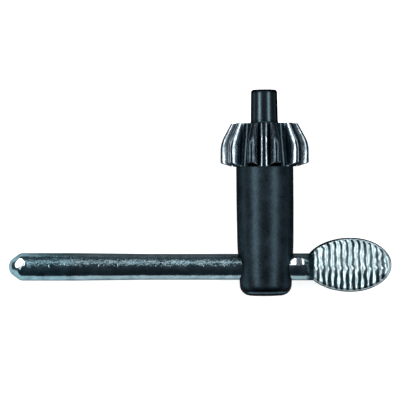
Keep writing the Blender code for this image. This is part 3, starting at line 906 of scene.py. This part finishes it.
def black_oxide_steel(scene):
    """Blackened machined steel, semi-gloss, with bright worn flanks on the teeth that also carry painted
    highlights, painted shade at the pilot's tip and the barrel's end, and a painted highlight line above that
    end.
    """
    finishes = scene.chuck_key_finishes
    sizes = scene.chuck_key_body
    pilot_top = sizes.pinion_top_z + sizes.pilot_length
    gear_bottom = sizes.pinion_top_z - sizes.pinion_height
    barrel_end = sizes.barrel_end_z
    n = Nodes("black_oxide_steel")
    z = n.axes()["Z"]

    def off_face(face_z, inwards):
        """0 on the flat end face at this height, and 1 a little inwards from it."""
        return n.span(z, face_z + 0.0001 * inwards, face_z + 0.00002 * inwards, 1.0, 0.0)

    blotches = n.noise(260.0, 4.0, 0.55)
    grain = n.noise(2600.0, 2.0, 0.6)
    lathe = n.noise(1.0, 2.0, 0.7, place=n.stretched(60.0, 60.0, 5200.0))
    on_pilot = n.span(z, sizes.pinion_top_z + 0.0003, sizes.pinion_top_z + 0.0009)
    above_barrel = n.span(z, gear_bottom, gear_bottom + 0.0003)
    # Worn flanks and edges, and painted highlights at some gap feet and on the left tooth's land, lighten the
    # steel
    marks_and_painted_light = n.times(n.attribute("marks_and_painted_light"), n.span(n.noise(900.0, 3.0), 0.38, 0.6, 0.5, 1.0))

    speckle = n.plus(n.span(blotches, 0.35, 0.65, 0.0, 0.5), n.span(grain, 0.35, 0.65, 0.0, 0.5))
    base = n.mix(on_pilot, n.shades(speckle, finishes.oxide, 0.55, 1.5), finishes.oxide_pilot)
    # Painted shade: the rounded edges at the pilot's tip and the barrel's end are darkened, but not their
    # flat faces
    tip_painted_shade = n.times(n.span(z, pilot_top - 0.0010, pilot_top - 0.0004), off_face(pilot_top, -1))
    end_painted_shade = n.times(n.span(z, barrel_end + 0.0026, barrel_end + 0.0014), off_face(barrel_end, 1))
    base = n.mix(n.most(tip_painted_shade, end_painted_shade), base, shade(finishes.oxide, 0.15))
    # Painted highlight: a thin light line round the barrel just above its end, broken up by the blotches
    from_line = n.math("ABSOLUTE", n.minus(z, barrel_end + 0.0008))
    end_painted_highlight = n.times(n.span(from_line, 0.00030, 0.00010), n.span(blotches, 0.40, 0.60, 0.2, 1.0))
    base = n.mix(end_painted_highlight, base, shade(finishes.oxide, 2.8))

    smoother = n.minus(above_barrel, n.times(on_pilot, 0.3))
    rough = n.minus(n.span(blotches, 0.3, 0.7, 0.34, 0.42), n.times(smoother, 0.17))
    rough = n.plus(rough, n.span(grain, 0.3, 0.7, -0.02, 0.03))
    turned = n.bump(lathe, 0.000010, 0.6)
    n.put("Specular IOR Level", 0.2)
    n.put("Base Color", n.mix(marks_and_painted_light, base, finishes.oxide_worn_and_highlight))
    n.put("Metallic", n.span(n.most(marks_and_painted_light, above_barrel), 0.0, 0.5, 0.9, 1.0))
    n.put("Roughness", n.minus(rough, n.times(marks_and_painted_light, 0.03)))
    n.put("Specular Tint", n.mix(on_pilot, grey(0.10), grey(0.0)))
    n.put("Normal", n.bump(grain, 0.000006, 0.7, turned))
    return n.material


def plated_steel(scene, tab):
    """Bright plating with a hammered, mottled rod, rubbed serration lands that also carry a painted
    highlight, dirt and painted shade in the grooves, painted shade along the tab's rim and on the ramp, and a
    painted highlight on the neck mark.
    """
    finishes = scene.chuck_key_finishes
    neck_start = scene.chuck_key_body.barrel_diameter / 2
    cone_start = scene.chuck_key_handle.free_end_x + scene.chuck_key_handle.nose_length
    n = Nodes("bright_plated_steel")
    axes = n.axes()
    x, z = axes["X"], axes["Z"]
    groove = n.attribute("marks_and_painted_light")
    patches = n.noise(420.0, 4.0, 0.6)
    patchy = n.span(patches, 0.35, 0.65)
    on_tab = n.span(x, tab.face_start - 0.0001, tab.face_start + 0.0001)
    # Painted shade: the ramp down to the tab's face is coloured near-black
    ramp_painted_shade = n.span(x, tab.ramp_start - 0.0003, tab.ramp_start + 0.0006, 0.0, 0.95)
    free_end = n.span(x, -0.045, -0.049)

    # The rod: hammer dents along its upper near side, none on the pressed marks and the cone
    upper_side = n.times(n.span(z, -0.0006, 0.0004), n.span(z, 0.0028, 0.0018))
    hammered = n.times(n.span(upper_side, 0.0, 1.0, 0.2, 1.0), n.span(groove, -0.5, 0.0))
    hammered = n.times(hammered, n.span(x, neck_start, neck_start - 0.0005, 0.3, 1.0))
    hammered = n.times(hammered, n.span(x, cone_start, cone_start + 0.0012))
    waves = n.noise(1.0, 3.0, 0.68, place=n.stretched(720.0, 650.0, 650.0), distortion=0.2)
    dents = n.times(n.minus(waves, 0.5), hammered)
    rod = n.shades(patchy, finishes.plating, 0.75, 1.2)
    cool = n.shades(patchy, finishes.plating_cool, 0.7, 1.25)

    # The tab: pale lands that also carry a painted highlight, grooves darkened with dirt and painted shade,
    # painted shade along the rim, and a wall as plain as the rod
    # Pale lands: rubbed plating and a painted highlight
    land = n.shades(n.span(patches, 0.35, 0.7), finishes.plating_rubbed_and_highlight, 1.0, 0.75)
    dirt_and_shade_edge = n.span(n.noise(1.0, 3.0, 0.6, place=n.stretched(900.0, 900.0, 350.0)), 0.3, 0.7, -0.18, 0.18)
    ends = n.most(n.span(z, -0.0006, -0.0018), n.span(z, 0.0038, 0.0052))
    # Dirt and painted shade in the grooves, and painted shade along the rim
    dirt_and_painted_shade = n.span(n.plus(groove, dirt_and_shade_edge), 0.25, 0.55, 0.0, n.span(ends, 0.0, 1.0, 0.9, 1.0))
    face = n.mix(dirt_and_painted_shade, land, finishes.groove_dirt_and_shade)
    face = n.mix(n.span(groove, 1.1, 1.6), face, rod)

    # Painted highlight: the mark pressed into the neck beside the barrel is coloured pale
    beside_barrel = n.span(x, neck_start + 0.0020, neck_start + 0.0024, 1.0, 0.0)
    pressed = n.times(n.span(groove, -0.1, -0.9), beside_barrel)
    rod = n.mix(pressed, n.mix(free_end, rod, cool), finishes.pressed_mark_highlight)
    smooth = n.span(patches, 0.3, 0.7, 0.10, 0.20)
    rubbed = n.span(patches, 0.3, 0.7, 0.28, 0.40)
    tint = n.mix(on_tab, n.mix(free_end, grey(0.30), grey(0.50)), grey(0.02))
    dented = n.bump(dents, 0.00034, 1.0)
    n.put("Specular IOR Level", 0.0)
    n.put("Base Color", n.mix(on_tab, n.mix(ramp_painted_shade, rod, finishes.groove_dirt_and_shade), face))
    n.put("Metallic", n.span(on_tab, 0.0, 1.0, 1.0, 0.8))
    n.put("Roughness", n.span(on_tab, 0.0, 1.0, smooth, rubbed))
    n.put("Specular Tint", tint)
    n.put("Normal", n.bump(n.noise(2400.0, 2.0, 0.5), 0.000004, 0.6, dented))
    return n.material


def floor_material(rgb):
    """A pale floor that shows white to the camera and in the metal, apart from two patches of painted shade
    that only the metal sees, and keeps a soft shadow.
    """
    n = Nodes("pale_floor")
    n.put("Specular IOR Level", 0.0)
    n.put("Roughness", n.span(n.noise(30.0, 2.0), 0.3, 0.7, 0.85, 0.95))
    rays = n.add("ShaderNodeLightPath").outputs
    seen = n.most(n.most(rays["Is Camera Ray"], rays["Is Glossy Ray"]), rays["Is Transmission Ray"])
    spot = n.axes(n.add("ShaderNodeNewGeometry").outputs["Position"])

    # Painted shade: two soft-edged patches that only the metal sees darker, in its reflections
    far_right = n.times(n.span(spot["X"], -0.050, -0.035), n.span(spot["Y"], -0.014, -0.008))
    far_left = n.times(n.span(spot["X"], -0.065, -0.080), n.span(spot["Y"], 0.002, 0.010))
    dimmed = n.times(n.most(far_right, far_left), rays["Is Glossy Ray"])
    glow = n.add("ShaderNodeEmission")
    n.feed(glow.inputs["Strength"], n.times(n.minus(seen, n.times(dimmed, 0.75)), 0.80))
    n.put("Base Color", n.mix(n.times(dimmed, 0.85), rgb, grey(0.0)))
    both = n.add("ShaderNodeAddShader")
    n.feed(both.inputs[0], n.shader.outputs[0])
    n.feed(both.inputs[1], glow.outputs[0])
    n.feed(n.tree.nodes["Material Output"].inputs["Surface"], both.outputs[0])
    return n.material


class OBJECT_OT_chuck_key_stage(bpy.types.Operator):
    """Sets up the floor, the camera square to the key and soft studio light"""

    bl_idname = "object.chuck_key_stage"
    bl_label = "Add Stage"

    def execute(self, context):
        stage = context.scene.chuck_key_stage
        matrix = key_matrix(context.scene.chuck_key_body, context.scene.chuck_key_handle)
        view = matrix @ Matrix.Rotation(context.scene.chuck_key_handle.lean, 4, "Y")
        right, away, up = (view.to_3x3().col[axis] for axis in range(3))
        self.floor(context, stage)
        middle = view.translation - right * stage.crossing_right + up * stage.crossing_down
        self.camera(context, stage, middle, right, up, away)
        self.lamps(context, stage, middle)
        self.world(context)
        context.scene.view_settings.view_transform = "Standard"
        return {"FINISHED"}

    def floor(self, context, stage):
        half = stage.floor_size / 2
        corners = [(-half, -half, 0), (half, -half, 0), (half, half, 0), (-half, half, 0)]
        mesh = bpy.data.meshes.new("floor")
        mesh.from_pydata(corners, [], [(0, 1, 2, 3)])
        mesh.materials.append(floor_material(context.scene.chuck_key_finishes.floor))
        new_object("floor", mesh, Matrix())

    def camera(self, context, stage, middle, right, up, away):
        data = bpy.data.cameras.new("camera")
        data.lens = data.sensor_width * stage.camera_distance / stage.picture_width
        data.clip_end = 10.0
        turn = Matrix((right, up, -away)).transposed()
        place = Matrix.Translation(middle - away * stage.camera_distance) @ turn.to_4x4()
        context.scene.camera = new_object("camera", data, place)

    def lamps(self, context, stage, middle):
        """Strips to the left and right, and a soft box beyond the pilot."""
        for name, towards, size, radiance in (
            ("left_strip", (-0.70, 0.05, 0.714), (0.17, 0.60), 5.0),
            ("right_strip", (0.58, 0.05, 0.815), (0.16, 0.60), 4.0),
            ("far_box", (0.0, 0.55, 0.835), (0.50, 0.17), 1.8),
        ):
            data = bpy.data.lights.new(name, "AREA")
            data.shape = "RECTANGLE"
            data.size, data.size_y = size
            data.energy = radiance * math.pi * size[0] * size[1]
            direction = Vector(towards).normalized()
            along = (Vector((0.0, 1.0, 0.0)) - direction * direction.y).normalized()
            across = along.cross(direction)
            turn = Matrix((across, along, direction)).transposed()
            place = Matrix.Translation(middle + direction * stage.light_distance) @ turn.to_4x4()
            new_object(name, data, place)

    def world(self, context):
        """A dim room, darkest on the near side."""
        world = bpy.data.worlds.new("studio")
        context.scene.world = world
        world.use_nodes = True
        nodes = world.node_tree.nodes
        kinds = ("TexCoord", "SeparateXYZ", "Math", "ValToRGB")
        place, split, half, ramp = (nodes.new("ShaderNode" + kind) for kind in kinds)
        half.operation = "MULTIPLY_ADD"
        half.inputs[1].default_value = 0.5
        half.inputs[2].default_value = 0.5
        for output, socket in (
            (place.outputs["Generated"], split.inputs[0]),
            (split.outputs["Y"], half.inputs[0]),
            (half.outputs["Value"], ramp.inputs["Fac"]),
            (ramp.outputs["Color"], nodes["Background"].inputs["Color"]),
        ):
            world.node_tree.links.new(output, socket)
        near, far = ramp.color_ramp.elements
        near.position, near.color = 0.1, (0.035, 0.045, 0.055, 1.0)
        far.position, far.color = 0.9, (0.14, 0.16, 0.18, 1.0)


class VIEW3D_PT_chuck_key(bpy.types.Panel):
    """Lists the key's sizes and pieces"""

    bl_idname = "VIEW3D_PT_chuck_key"
    bl_label = "Drill Chuck Key"
    bl_space_type = "VIEW_3D"
    bl_region_type = "UI"
    bl_category = "Chuck Key"

    def draw(self, context):
        for operator in OPERATORS:
            self.layout.operator(operator.bl_idname)
        for name, group in GROUPS.items():
            column = self.layout.column(align=True)
            column.label(text=group.__doc__)
            for setting in group.__annotations__:
                column.prop(getattr(context.scene, name), setting)


OPERATORS = (OBJECT_OT_chuck_key_body, OBJECT_OT_chuck_key_handle, OBJECT_OT_chuck_key_stage)
CLASSES = (*GROUPS.values(), *OPERATORS, VIEW3D_PT_chuck_key)


def register():
    for cls in CLASSES:
        bpy.utils.register_class(cls)
    for name, group in GROUPS.items():
        setattr(bpy.types.Scene, name, PointerProperty(type=group))


def unregister():
    for name in GROUPS:
        delattr(bpy.types.Scene, name)
    for cls in reversed(CLASSES):
        bpy.utils.unregister_class(cls)


def main():
    register()
    bpy.ops.object.chuck_key_body()
    bpy.ops.object.chuck_key_handle()
    bpy.ops.object.chuck_key_stage()
    bpy.context.view_layer.update()


if __name__ == "__main__":
    main()
